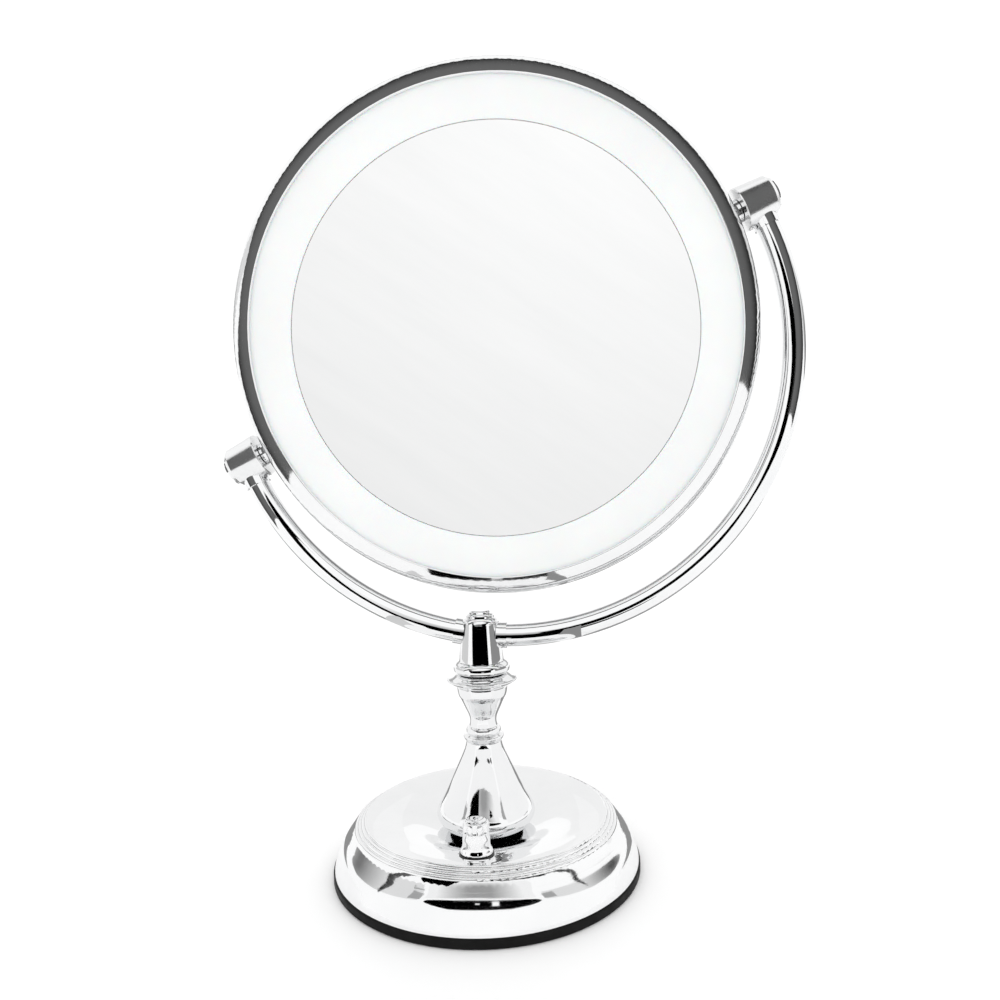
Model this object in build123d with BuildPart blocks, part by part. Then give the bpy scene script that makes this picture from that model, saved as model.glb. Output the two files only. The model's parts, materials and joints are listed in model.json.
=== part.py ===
from build123d import *
import os
from math import asin, cos, degrees, pi, radians, sin, sqrt

os.makedirs("parts", exist_ok=True)

# A two-sided lighted vanity mirror on a turned stem. Millimetres, +Z up, -Y towards the user.
# The origin is the centre of the base's underside, on the stem's axis.

# ---- driving dimensions ----------------------------------------------------------------------

# head: a disc that turns about the pivot axis, which leans in the plane of the yoke
head_x = 12.0                 # centre of the head, to the right of the stem
head_z = 261.0
pivot_lean = 24.5             # pivot axis above the horizontal, degrees
head_tilt = 6.2               # the front mirror looks this far down at rest, degrees
rim_r = 128.6                 # outer band of the head
rim_wall = 1.6
rim_flat_z = 6.5              # the band is straight up to here, each side of the parting plane
lip_crest_z = 11.0
lip_inner_r = 119.5           # opening over the light ring
part_gap = 0.15               # half of the joint line between the two bezels
glass_z = 9.2                 # face of the glass from the parting plane
glass_t = 2.8
mirror_r = 99.1
ring_in_r = 99.4              # frosted light ring
ring_out_r = 122.0
concave_r = 620.0             # radius of curvature of the five-times magnifying glass
hoop_in_r = 96.0              # reflector core: inner hoop, outer hoop, web
hoop_out_r = 118.8
hoop_wall = 1.6
web_half = 1.0
core_r = 126.8
led_r = 109.0
led_count = 36

# yoke: a tube bent to a circle whose centre is below the head's centre, square to the pivot axis
tube_r = 5.5
tube_wall = 1.2
yoke_r = 140.8
yoke_drop = 8.8
hub_in = 131.8                # hub faces, measured along the pivot axis from the head's centre
hub_out = 149.0
hub_r_in = 11.0
hub_r_out = 9.9
pin_r = 3.0
pin_end = 141.6
running = 0.05                # radial clearance of a shaft that turns
seated = 0.02                 # radial clearance of a shaft that does not

# stem: turned pieces threaded on one hollow tie rod, by the height of each joint
foot_z0 = 17.0
foot_z1 = 60.0
ring_z1 = 64.0
bead_z1 = 67.6
goblet_z1 = 88.0
saucer_z1 = 93.6
bead2_z1 = 99.5
collar_z1 = 121.3
cap_z1 = 124.8
rod_r = 4.0
rod_bore = 2.2
rod_z0 = 9.4
rod_z1 = 106.5
stem_bore = rod_r + 0.1

# base
ring_r = 75.0                 # black foot ring
ring_h = 4.6
skirt_r = 74.4
ridge_out_r = 64.5
ridge_in_r = 58.5
ridge_out_z = 22.3
ridge_in_z = 26.2
ridge_count = 4
dish_r = 15.5                 # level middle of the dished top, where the stem's foot stands
plate_r = 71.5
plate_z0 = 2.6
plate_z1 = 4.2
weight_z1 = 15.2
weight_r = 66.5
weight_bore = 20.0
screw_circle_r = 40.0

# dimmer, in front of the stem
knob_y = -45.5
seat_z = 24.6                 # level seat pressed into the dished top
seat_r = 8.3
washer_h = 1.2
knob_z0 = seat_z + washer_h + 0.3
knob_z1 = 39.5
shaft_r = 3.0

# power inlet, at the back of the skirt
inlet_z = 11.5
inlet_y = 69.6                # floor of the round pocket that the inlet sits in

lead_r = 0.9

# ---- frames ----------------------------------------------------------------------------------

lean = radians(pivot_lean)
tilt = radians(head_tilt)
ALONG = Vector(cos(lean), 0, sin(lean))        # pivot axis, lower left to upper right
UP = Vector(-sin(lean), 0, cos(lean))          # square to it, in the plane of the yoke
FRONT = Vector(0, -cos(tilt), 0) - UP * sin(tilt)
HEAD = Vector(head_x, 0, head_z)
YOKE = HEAD - UP * yoke_drop                   # centre of the yoke's circle

head_plane = Plane(origin=HEAD, x_dir=ALONG, z_dir=FRONT)
# half section of the head: x is the radius, y is the distance towards the front
head_section = Plane(origin=HEAD, x_dir=head_plane.y_dir, z_dir=ALONG)
head_axis = Axis(HEAD, FRONT)
pivot_axis = Axis(HEAD, ALONG)
yoke_axis = Axis(YOKE, (0, -1, 0))             # turning about it goes from the left hub to the right
stem_axis = Axis.Z
SIDES = {"left": -1, "right": 1}


def pivot_section(side):
    """Half section of a pivot: x is the radius, y is the distance outwards along the pivot axis."""
    return Plane(origin=HEAD, x_dir=UP, z_dir=(0, side, 0))


def pivot_plane(side, distance):
    """A plane square to the pivot axis, at a distance from the head's centre, facing outwards."""
    return Plane(origin=HEAD + ALONG * (side * distance), x_dir=UP, z_dir=ALONG * side)


def yoke_point(angle, radius=yoke_r, centre=YOKE):
    """A point on the yoke's circle; the angle is counted from the pivot axis towards UP."""
    a = radians(angle)
    return centre + ALONG * (radius * cos(a)) + UP * (radius * sin(a))


def yoke_plane(angle):
    """The tube's cross section at an angle: x points away from the circle's centre."""
    a = radians(angle)
    outward = ALONG * cos(a) + UP * sin(a)
    along_tube = UP * cos(a) - ALONG * sin(a)
    return Plane(origin=yoke_point(angle), x_dir=outward, z_dir=along_tube)


def rectangle(x0, x1, y0, y1):
    """An axis-aligned rectangle in the current sketch, by its corners."""
    with Locations(((x0 + x1) / 2, (y0 + y1) / 2)):
        Rectangle(x1 - x0, y1 - y0)


# ---- head: bezels ------------------------------------------------------------------------------

# Front bezel: outer band, sloping lip over the light ring, bosses for the screws, and a thin
# tongue at the inside of the joint line that the rear bezel is pressed over.
tongue_z = 1.2
tongue_r = rim_r - rim_wall + 0.7
under_lip_z = glass_z + 0.1
boss_circle_r = 124.4
boss_r = 2.2
boss_count = 8
boss_start = 22.5             # clear of the pivot pins
boss_top = 8.6
boss_depth = 6.2
bezel_screw_r = 1.1


def bezel_outline(joint_points):
    """Half section of a bezel facing the front, from the joint line up the sloping lip to its crest."""
    Polyline(*joint_points)
    Line((rim_r, part_gap), (rim_r, rim_flat_z))
    Spline(
        (rim_r, rim_flat_z),
        (rim_r - 1.2, rim_flat_z + 1.85),
        (rim_r - 4.2, rim_flat_z + 3.35),
        (lip_inner_r + 0.6, lip_crest_z),
        tangents=((0, 1), (-1, 0.25)),
    )
    ThreePointArc(
        (lip_inner_r + 0.6, lip_crest_z),
        (lip_inner_r + 0.15, lip_crest_z - 0.2),
        (lip_inner_r, lip_crest_z - 0.65),
    )
    Polyline(
        (lip_inner_r, lip_crest_z - 0.65),
        (lip_inner_r, under_lip_z),
        (rim_r - rim_wall - 3.6, under_lip_z),
        (rim_r - rim_wall, rim_flat_z - 0.4),
        joint_points[0],
    )


with BuildPart() as front_bezel:
    with BuildSketch(head_section):
        with BuildLine():
            bezel_outline([
                (rim_r - rim_wall, -tongue_z),
                (tongue_r, -tongue_z),
                (tongue_r, part_gap),
                (rim_r, part_gap),
            ])
        make_face()
    revolve(axis=head_axis)
    with BuildSketch(head_plane.offset(web_half + 0.05)):
        with PolarLocations(boss_circle_r, boss_count, boss_start):
            Circle(boss_r)
    extrude(amount=boss_top - web_half - 0.05)
    with BuildSketch(head_plane.offset(web_half + 0.05)):
        with PolarLocations(boss_circle_r, boss_count, boss_start):
            Circle(bezel_screw_r + seated)
    extrude(amount=boss_depth, mode=Mode.SUBTRACT)
    with BuildSketch(pivot_plane(-1, rim_r + 1)):
        Circle(pin_r + 0.1)
    extrude(amount=-2 * (rim_r + 1), mode=Mode.SUBTRACT)
front_bezel.part.label = "front_bezel"
export_step(front_bezel.part, "parts/front_bezel.step")

# Rear bezel: the same lip facing backwards, rebated for the tongue.
rear_plane = Plane(origin=HEAD, x_dir=head_plane.y_dir, z_dir=-ALONG)   # its y points to the back
with BuildPart() as rear_bezel:
    with BuildSketch(rear_plane):
        with BuildLine():
            bezel_outline([
                (rim_r - rim_wall, tongue_z + 0.1),
                (tongue_r + 0.05, tongue_z + 0.1),
                (tongue_r + 0.05, part_gap),
                (rim_r, part_gap),
            ])
        make_face()
    revolve(axis=head_axis)
    with BuildSketch(pivot_plane(-1, rim_r + 1)):
        Circle(pin_r + 0.1)
    extrude(amount=-2 * (rim_r + 1), mode=Mode.SUBTRACT)
rear_bezel.part.label = "rear_bezel"
export_step(rear_bezel.part, "parts/rear_bezel.step")

# ---- head: glass and light rings ---------------------------------------------------------------

glass_bevel = 0.2

with BuildPart() as front_mirror:
    with BuildSketch(head_plane.offset(glass_z - glass_t)):
        Circle(mirror_r)
    extrude(amount=glass_t)
    chamfer(front_mirror.edges(), length=glass_bevel)
front_mirror.part.label = "front_mirror"
export_step(front_mirror.part, "parts/front_mirror.step")


def sag(radius):
    """Depth of the concave glass's face below its own edge, at a radius."""
    return sqrt(concave_r**2 - radius**2) - sqrt(concave_r**2 - mirror_r**2)


with BuildPart() as rear_mirror:
    with BuildSketch(rear_plane):
        with BuildLine():
            Line((0, glass_z - sag(0) - glass_t), (0, glass_z - sag(0)))
            ThreePointArc(
                (0, glass_z - sag(0)),
                (mirror_r / 2, glass_z - sag(mirror_r / 2)),
                (mirror_r, glass_z),
            )
            Line((mirror_r, glass_z), (mirror_r, glass_z - glass_t))
            ThreePointArc(
                (mirror_r, glass_z - glass_t),
                (mirror_r / 2, glass_z - glass_t - sag(mirror_r / 2)),
                (0, glass_z - sag(0) - glass_t),
            )
        make_face()
    revolve(axis=head_axis)
rear_mirror.part.label = "rear_mirror"
export_step(rear_mirror.part, "parts/rear_mirror.step")

with BuildPart() as front_light_ring:
    with BuildSketch(head_plane.offset(glass_z - glass_t)):
        Circle(ring_out_r)
        Circle(ring_in_r, mode=Mode.SUBTRACT)
    extrude(amount=glass_t)
    chamfer(front_light_ring.edges(), length=glass_bevel)
front_light_ring.part.label = "front_light_ring"
export_step(front_light_ring.part, "parts/front_light_ring.step")

with BuildPart() as rear_light_ring:
    with BuildSketch(head_plane.offset(-glass_z)):
        Circle(ring_out_r)
        Circle(ring_in_r, mode=Mode.SUBTRACT)
    extrude(amount=glass_t)
    chamfer(rear_light_ring.edges(), length=glass_bevel)
rear_light_ring.part.label = "rear_light_ring"
export_step(rear_light_ring.part, "parts/rear_light_ring.step")

# Foam tape that holds each glass on the core; the rear one follows the back of the curved glass.
seat_in_r = 90.5
tape_out_r = 98.0
front_seat_z = 5.7
rear_seat_z = 4.2

with BuildPart() as front_mirror_tape:
    with BuildSketch(head_section):
        rectangle(seat_in_r, tape_out_r, front_seat_z, glass_z - glass_t)
    revolve(axis=head_axis)
front_mirror_tape.part.label = "front_mirror_tape"
export_step(front_mirror_tape.part, "parts/front_mirror_tape.step")

hug = glass_z - glass_t - 0.02
tape_rear_r = hoop_in_r - 0.3
with BuildPart() as rear_mirror_tape:
    with BuildSketch(rear_plane):
        with BuildLine():
            Polyline(
                (seat_in_r, hug - sag(seat_in_r)),
                (seat_in_r, rear_seat_z),
                (tape_rear_r, rear_seat_z),
                (tape_rear_r, hug - sag(tape_rear_r)),
                close=True,
            )
        make_face()
    revolve(axis=head_axis)
rear_mirror_tape.part.label = "rear_mirror_tape"
export_step(rear_mirror_tape.part, "parts/rear_mirror_tape.step")

# ---- head: reflector core and lights -----------------------------------------------------------

# White moulded ring: inner hoop with seats for both mirrors and ledges for the light rings, web for
# the boards, outer hoop, and a flange that carries the bezels.
hoop_in_wall = 2.5
ledge_r = 101.0
ledge_t = 1.1
hoop_top_z = glass_z - glass_t - 0.2
hoop_r1 = hoop_in_r + hoop_in_wall
hoop_r2 = hoop_out_r + hoop_wall
board_in_r = 104.0
board_out_r = 114.0
board_t = 1.2
board_screw_r = 1.0
board_screw_start = {"front": 30.0, "rear": 50.0}      # six each, between the lights
connector_r = (106.5, 112.5)                           # board connector: from, to
connector_w = 6.0
connector_h = 6.4
notch_gap = 0.3
pin_head_r = 5.6
pin_head_t = 2.0

with BuildPart() as reflector_core:
    with BuildSketch(head_section):
        rectangle(hoop_in_r, hoop_r1, -front_seat_z, front_seat_z)
        rectangle(seat_in_r - 0.5, hoop_r1, front_seat_z - ledge_t, front_seat_z)
        rectangle(seat_in_r - 0.5, hoop_r1, -rear_seat_z, ledge_t - rear_seat_z)
        rectangle(hoop_r1 - 0.1, ledge_r, hoop_top_z - ledge_t, hoop_top_z)
        rectangle(hoop_r1 - 0.1, ledge_r, -hoop_top_z, ledge_t - hoop_top_z)
        rectangle(hoop_r1 - 0.1, core_r, -web_half, web_half)
        rectangle(hoop_out_r, hoop_r2, -hoop_top_z, hoop_top_z)
    revolve(axis=head_axis)
    # holes for the bezel screws, and pilot holes for the board screws
    with BuildSketch(head_plane.offset(-web_half)):
        with PolarLocations(boss_circle_r, boss_count, boss_start):
            Circle(bezel_screw_r + 0.2)
        for start in board_screw_start.values():
            with PolarLocations(led_r, 6, start):
                Circle(board_screw_r + seated)
    extrude(amount=2 * web_half, mode=Mode.SUBTRACT)
    # room for each pin's head, shank and lock nut
    for side in SIDES.values():
        with BuildSketch(pivot_plane(side, connector_r[1])):
            Circle(pin_head_r + notch_gap)
        extrude(amount=hoop_out_r - connector_r[1], mode=Mode.SUBTRACT)
        with BuildSketch(pivot_plane(side, hoop_out_r - 1)):
            Circle(pin_r + seated)
        extrude(amount=hoop_wall + 2, mode=Mode.SUBTRACT)
        with BuildSketch(pivot_plane(side, hoop_r2)):
            Circle(pin_head_r + notch_gap)
        extrude(amount=core_r - hoop_r2 + 1, mode=Mode.SUBTRACT)
    # notch for the board connector
    with BuildSketch(head_plane.offset(-web_half)):
        notch_half = connector_w / 2 + notch_gap
        rectangle(connector_r[0] - notch_gap, connector_r[1] + notch_gap, -notch_half, notch_half)
    extrude(amount=2 * web_half, mode=Mode.SUBTRACT)
reflector_core.part.label = "reflector_core"
export_step(reflector_core.part, "parts/reflector_core.step")

# The front and rear sets differ only in which way they face, so one loop makes both.
FACES = {"front": 1, "rear": -1}
led_size = (3.5, 2.8, 1.0)
board_gap = 0.02
for face, way in FACES.items():
    board_plane = Plane(origin=HEAD, x_dir=ALONG, z_dir=FRONT * way).offset(web_half + board_gap)
    # ring-shaped circuit board with a notch for the connector
    with BuildPart() as led_board:
        with BuildSketch(board_plane):
            Circle(board_out_r)
            Circle(board_in_r, mode=Mode.SUBTRACT)
            with PolarLocations(led_r, 6, board_screw_start[face] * way):
                Circle(board_screw_r + 0.1, mode=Mode.SUBTRACT)
            with Locations((board_out_r, 0)):
                Rectangle(
                    2 * (board_out_r - connector_r[0] + notch_gap),
                    connector_w + 2 * notch_gap,
                    mode=Mode.SUBTRACT,
                )
        extrude(amount=board_t)
    led_board.part.label = f"{face}_led_board"
    export_step(led_board.part, f"parts/{face}_led_board.step")

    # light-emitting chips, one every ten degrees
    with BuildPart() as leds:
        with BuildSketch(board_plane.offset(board_t + board_gap)):
            with PolarLocations(led_r, led_count, 180 / led_count):
                Rectangle(led_size[1], led_size[0])
        extrude(amount=led_size[2])
        chamfer(leds.faces().sort_by(Axis(HEAD, FRONT * way))[-led_count:].edges(), 0.2)
    leds.part.label = f"{face}_leds"
    export_step(leds.part, f"parts/{face}_leds.step")

    # pan-head screws that hold the board on the web
    head_z0 = board_t + board_gap
    screw_head_r = 2.0
    with BuildPart() as board_screws:
        with BuildSketch(board_plane.offset(head_z0)):
            with PolarLocations(led_r, 6, board_screw_start[face] * way):
                Circle(screw_head_r)
        extrude(amount=1.3)
        chamfer(board_screws.faces().sort_by(Axis(HEAD, FRONT * way))[-6:].edges(), 0.4)
        with BuildSketch(board_plane.offset(head_z0)):
            with PolarLocations(led_r, 6, board_screw_start[face] * way):
                Circle(board_screw_r)
        extrude(amount=-(board_t + 1.6))
    board_screws.part.label = f"{face}_board_screws"
    export_step(board_screws.part, f"parts/{face}_board_screws.step")

# Screws from the back of the core's flange into the front bezel's bosses.
bezel_screw_head_r = 2.1
with BuildPart() as bezel_screws:
    with BuildSketch(head_plane.offset(-web_half - board_gap)):
        with PolarLocations(boss_circle_r, boss_count, boss_start):
            Circle(bezel_screw_head_r)
    extrude(amount=-1.4)
    with BuildSketch(head_plane.offset(-web_half - board_gap)):
        with PolarLocations(boss_circle_r, boss_count, boss_start):
            Circle(bezel_screw_r)
    extrude(amount=boss_depth + 1.5)
bezel_screws.part.label = "bezel_screws"
export_step(bezel_screws.part, "parts/bezel_screws.step")

# Two-row connector block in the notch, joining both boards to the lead.
with BuildPart() as board_connector:
    with BuildSketch(head_plane.offset(-connector_h / 2)):
        rectangle(connector_r[0], connector_r[1], -connector_w / 2, connector_w / 2)
    extrude(amount=connector_h)
    chamfer(board_connector.edges().filter_by(Axis(HEAD, FRONT)), 0.5)
    with BuildSketch(pivot_plane(1, connector_r[1])):
        Circle(lead_r + seated)
    extrude(amount=-2, mode=Mode.SUBTRACT)
board_connector.part.label = "board_connector"
export_step(board_connector.part, "parts/board_connector.step")

# ---- pivots --------------------------------------------------------------------------------------

pin_bore = 1.4
lock_nut_flats = 9.0
lock_nut_h = 3.4
end_nut_flats = 7.0
end_nut_h = 2.4
end_nut_in = 139.0
hub_cavity_r = 6.2
hub_wall_out = 137.2          # end of the hub's inner wall
bush_r = 3.8
bush_flange_out = hub_wall_out + 0.7
button_r = 5.5                # button on the hub's cap
button_top = hub_out + 3.5
button_dome = (button_r**2 + 1.5**2) / (2 * 1.5)      # radius of its dome, 1.5 mm high

# where the yoke's circle crosses the pivot axis, and how far round it the tube stops short of that
hub_angle = {"left": 180 - degrees(asin(yoke_drop / yoke_r)), "right": degrees(asin(yoke_drop / yoke_r))}
tube_stop = degrees((hub_cavity_r + 0.6) / yoke_r)
tube_start = hub_angle["left"] + tube_stop
tube_arc = 360 + hub_angle["right"] - tube_stop - tube_start



def hub_outline(section, mode=Mode.ADD):
    """The outside of a tapered hub, revolved about the pivot axis."""
    with BuildSketch(section) as outline:
        with BuildLine():
            Polyline(
                (0, hub_in),
                (hub_r_in - 0.5, hub_in),
                (hub_r_in, hub_in + 0.5),
                (hub_r_out, hub_out - 1.8),
                (hub_r_out - 1.5, hub_out),
                (0, hub_out),
                close=True,
            )
        make_face()
    revolve(outline.sketch, axis=pivot_axis, mode=mode)


for name, side in SIDES.items():
    section = pivot_section(side)

    # hollow steel pin: head inside the core, shank through rim and hub
    with BuildPart() as pivot_pin:
        with BuildSketch(section):
            rectangle(pin_bore, pin_head_r, hoop_out_r - pin_head_t, hoop_out_r - seated)
            rectangle(pin_bore, pin_r, hoop_out_r - pin_head_t, pin_end)
        revolve(axis=pivot_axis)
        chamfer(pivot_pin.edges().sort_by(Axis(HEAD, ALONG * side))[-1], 0.3)
    pivot_pin.part.label = f"{name}_pivot_pin"
    export_step(pivot_pin.part, f"parts/{name}_pivot_pin.step")

    # tapered hub with a cavity for the end nut and a side bore for the yoke tube
    with BuildPart() as hub:
        hub_outline(section)
        with BuildSketch(section):
            rectangle(0, bush_r + seated, hub_in, hub_wall_out)
            rectangle(0, hub_cavity_r, hub_wall_out, hub_out)
        revolve(axis=pivot_axis, mode=Mode.SUBTRACT)
        with BuildSketch(yoke_plane(hub_angle[name])):
            Circle(tube_r + seated)
        revolve(axis=yoke_axis, revolution_arc=-8.0 * side, mode=Mode.SUBTRACT)
    hub.part.label = f"{name}_hub"
    export_step(hub.part, f"parts/{name}_hub.step")

    # button cap pressed into the hub's mouth
    with BuildPart() as hub_cap:
        with BuildSketch(section):
            with BuildLine():
                Polyline(
                    (0, hub_out - 2.5),
                    (hub_cavity_r - seated, hub_out - 2.5),
                    (hub_cavity_r - seated, hub_out + 0.02),
                    (hub_r_out - 2.0, hub_out + 0.02),
                    (hub_r_out - 2.0, hub_out + 0.8),
                    (button_r, hub_out + 1.2),
                    (button_r, hub_out + 2.0),
                )
                RadiusArc((button_r, hub_out + 2.0), (0, button_top), -button_dome)
                Line((0, button_top), (0, hub_out - 2.5))
            make_face()
        revolve(axis=pivot_axis)
    hub_cap.part.label = f"{name}_hub_cap"
    export_step(hub_cap.part, f"parts/{name}_hub_cap.step")


def on_both_pivots(r0, r1, s0, s1):
    """The same ring on each pivot, from one distance from the head's centre to another."""
    for side in SIDES.values():
        with BuildSketch(pivot_section(side)) as ring:
            rectangle(r0, r1, s0, s1)
        revolve(ring.sketch, axis=pivot_axis)


# Flanged nylon bushes in the hubs' inner walls; the flange is also the friction washer.
with BuildPart() as pivot_bushes:
    on_both_pivots(pin_r + running, bush_r, hub_in, bush_flange_out)
    on_both_pivots(pin_r + running, hub_cavity_r - 0.2, hub_wall_out, bush_flange_out)
pivot_bushes.part.label = "pivot_bushes"
export_step(pivot_bushes.part, "parts/pivot_bushes.step")

# Plated spacers on the pins between the rim and the hubs.
with BuildPart() as pivot_spacers:
    on_both_pivots(pin_r + seated, 5.8, rim_r + 0.1, hub_in - 0.3)
pivot_spacers.part.label = "pivot_spacers"
export_step(pivot_spacers.part, "parts/pivot_spacers.step")

# Dished spring washers that press the bush flanges, so that the head stays where it is put.
with BuildPart() as disc_springs:
    for side in SIDES.values():
        with BuildSketch(pivot_section(side)):
            with BuildLine():
                Polyline(
                    (pin_r + 0.15, end_nut_in - 0.62),
                    (pin_r + 0.15, end_nut_in - 0.05),
                    (hub_cavity_r - 0.5, end_nut_in - 0.35),
                    (hub_cavity_r - 0.5, end_nut_in - 0.92),
                    close=True,
                )
            make_face()
        revolve(axis=pivot_axis)
disc_springs.part.label = "disc_springs"
export_step(disc_springs.part, "parts/disc_springs.step")


def nuts_on_both_pivots(flats, height, distance):
    """A hexagon nut on each pivot pin, its inner face at a distance from the head's centre."""
    for side in SIDES.values():
        with BuildSketch(pivot_plane(side, distance)) as nut:
            RegularPolygon(flats / 2, 6, major_radius=False)
            Circle(pin_r + seated, mode=Mode.SUBTRACT)
        extrude(nut.sketch, amount=height)


with BuildPart() as pivot_lock_nuts:
    nuts_on_both_pivots(lock_nut_flats, lock_nut_h, hoop_r2 + 0.02)
pivot_lock_nuts.part.label = "pivot_lock_nuts"
export_step(pivot_lock_nuts.part, "parts/pivot_lock_nuts.step")

with BuildPart() as pivot_end_nuts:
    nuts_on_both_pivots(end_nut_flats, end_nut_h, end_nut_in)
pivot_end_nuts.part.label = "pivot_end_nuts"
export_step(pivot_end_nuts.part, "parts/pivot_end_nuts.step")

# ---- yoke ----------------------------------------------------------------------------------------

# where the stem's axis crosses the tube
stem_angle = 270 - pivot_lean - degrees(asin(YOKE.X / yoke_r))
tube_z = yoke_point(stem_angle).Z
lead_hole_r = 2.4

with BuildPart() as yoke_tube:
    with BuildSketch(yoke_plane(tube_start)):
        Circle(tube_r)
        Circle(tube_r - tube_wall, mode=Mode.SUBTRACT)
    revolve(axis=yoke_axis, revolution_arc=tube_arc)
    # hole in the underside, above the tie rod, for the lead
    with BuildSketch(Plane.XY.offset(tube_z - tube_r - 1)):
        Circle(lead_hole_r)
    extrude(amount=tube_r, mode=Mode.SUBTRACT)
yoke_tube.part.label = "yoke_tube"
export_step(yoke_tube.part, "parts/yoke_tube.step")

# Collar: a slightly tapered barrel with rounded shoulders that the tube passes through.
collar_r0 = 11.0
collar_r1 = 9.25


def collar_outline(mode=Mode.ADD):
    """The collar's outside, revolved about the stem's axis."""
    with BuildSketch(Plane.XZ) as outline:
        with BuildLine():
            Polyline((0, collar_z1), (0, bead2_z1), (collar_r0 - 0.4, bead2_z1), (collar_r0, bead2_z1 + 0.4))
            Line((collar_r0, bead2_z1 + 0.4), (collar_r1, collar_z1 - 2.6))
            ThreePointArc(
                (collar_r1, collar_z1 - 2.6),
                (collar_r1 - 0.7, collar_z1 - 0.8),
                (collar_r1 - 2.3, collar_z1),
            )
            Line((collar_r1 - 2.3, collar_z1), (0, collar_z1))
        make_face()
    revolve(outline.sketch, axis=stem_axis, mode=mode)


collar_half_angle = degrees(collar_r0 / yoke_r) + 1.0
with BuildPart() as yoke_collar:
    collar_outline()
    with BuildSketch(yoke_plane(stem_angle - collar_half_angle)):
        Circle(tube_r + seated)
    revolve(axis=yoke_axis, revolution_arc=2 * collar_half_angle, mode=Mode.SUBTRACT)
    with BuildSketch(Plane.XY.offset(bead2_z1)):
        Circle(rod_r + seated)
    extrude(amount=rod_z1 + 0.2 - bead2_z1, mode=Mode.SUBTRACT)
    with BuildSketch(Plane.XY.offset(rod_z1)):
        Circle(lead_hole_r)
    extrude(amount=tube_z - rod_z1, mode=Mode.SUBTRACT)
yoke_collar.part.label = "yoke_collar"
export_step(yoke_collar.part, "parts/yoke_collar.step")

# Ferrules on the tube: one each side of the collar and one at each hub, cut to fit what they meet.
ferrule_wall = 0.8


def ferrule(angle, length):
    """A sleeve round the tube that starts at an angle on the yoke and runs a signed length along it."""
    with BuildSketch(yoke_plane(angle)) as ring:
        Circle(tube_r + ferrule_wall)
        Circle(tube_r + seated, mode=Mode.SUBTRACT)
    revolve(ring.sketch, axis=yoke_axis, revolution_arc=degrees(length / yoke_r))


with BuildPart() as tube_ferrules:
    for turn in (-1, 1):
        ferrule(stem_angle + degrees(turn * 8.0 / yoke_r), turn * 5.0)
    collar_outline(mode=Mode.SUBTRACT)
    for name, side in SIDES.items():
        ferrule(hub_angle[name] - degrees(side * 8.0 / yoke_r), side * -5.0)
        hub_outline(pivot_section(side), mode=Mode.SUBTRACT)
tube_ferrules.part.label = "tube_ferrules"
export_step(tube_ferrules.part, "parts/tube_ferrules.step")

# ---- stem ----------------------------------------------------------------------------------------


def turned_bore(z0, z1):
    """The hole for the tie rod through a turned piece."""
    with BuildSketch(Plane.XY.offset(z0)) as hole:
        Circle(stem_bore)
    extrude(hole.sketch, amount=z1 - z0, mode=Mode.SUBTRACT)


with BuildPart() as collar_cap:
    with BuildSketch(Plane.XZ):
        with BuildLine():
            Polyline((0, cap_z1), (0, collar_z1), (6.9, collar_z1), (6.9, collar_z1 + 1.1))
            ThreePointArc((6.9, collar_z1 + 1.1), (6.4, collar_z1 + 1.8), (5.6, collar_z1 + 2.1))
            Line((5.6, collar_z1 + 2.1), (5.4, cap_z1 - 0.8))
            ThreePointArc((5.4, cap_z1 - 0.8), (4.9, cap_z1 - 0.2), (3.9, cap_z1))
            Line((3.9, cap_z1), (0, cap_z1))
        make_face()
    revolve(axis=stem_axis)
collar_cap.part.label = "collar_cap"
export_step(collar_cap.part, "parts/collar_cap.step")

# Round bead under the collar.
with BuildPart() as collar_bead:
    with BuildSketch(Plane.XZ):
        with BuildLine():
            Line((0, bead2_z1), (0, saucer_z1))
            Line((0, saucer_z1), (10.2, saucer_z1))
            Spline((10.2, saucer_z1), (13.9, saucer_z1 + 2.9), (11.5, bead2_z1), tangents=((1, 0.1), (-1, 0.35)))
            Line((11.5, bead2_z1), (0, bead2_z1))
        make_face()
    revolve(axis=stem_axis)
    turned_bore(saucer_z1, bead2_z1)
collar_bead.part.label = "collar_bead"
export_step(collar_bead.part, "parts/collar_bead.step")

# Wide thin flange with a rounded edge.
with BuildPart() as saucer:
    with BuildSketch(Plane.XZ):
        with BuildLine():
            Polyline((0, saucer_z1), (0, goblet_z1), (12.8, goblet_z1))
            Spline((12.8, goblet_z1), (15.3, goblet_z1 + 1.4), (16.9, goblet_z1 + 2.4), tangents=((0.7, 0.7), (1, 0.5)))
            ThreePointArc(
                (16.9, goblet_z1 + 2.4),
                (17.3, goblet_z1 + 3.1),
                (16.8, goblet_z1 + 3.7),
            )
            Spline((16.8, goblet_z1 + 3.7), (13.5, saucer_z1 - 0.4), (11.0, saucer_z1), tangents=((-1, 0.15), (-1, 0)))
            Line((11.0, saucer_z1), (0, saucer_z1))
        make_face()
    revolve(axis=stem_axis)
    turned_bore(goblet_z1, saucer_z1)
saucer.part.label = "saucer"
export_step(saucer.part, "parts/saucer.step")

# Goblet: narrow waist opening upwards to the saucer.
with BuildPart() as goblet:
    with BuildSketch(Plane.XZ):
        with BuildLine():
            Polyline((0, goblet_z1), (0, bead_z1), (6.9, bead_z1))
            Spline(
                (6.9, bead_z1),
                (6.5, bead_z1 + 3.2),
                (8.5, bead_z1 + 8.8),
                (11.1, bead_z1 + 14.3),
                (12.4, goblet_z1 - 1.6),
                tangents=((-0.3, 1), (0.12, 1)),
            )
            ThreePointArc((12.4, goblet_z1 - 1.6), (12.3, goblet_z1 - 0.6), (11.6, goblet_z1))
            Line((11.6, goblet_z1), (0, goblet_z1))
        make_face()
    revolve(axis=stem_axis)
    turned_bore(bead_z1, goblet_z1)
goblet.part.label = "goblet"
export_step(goblet.part, "parts/goblet.step")

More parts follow.
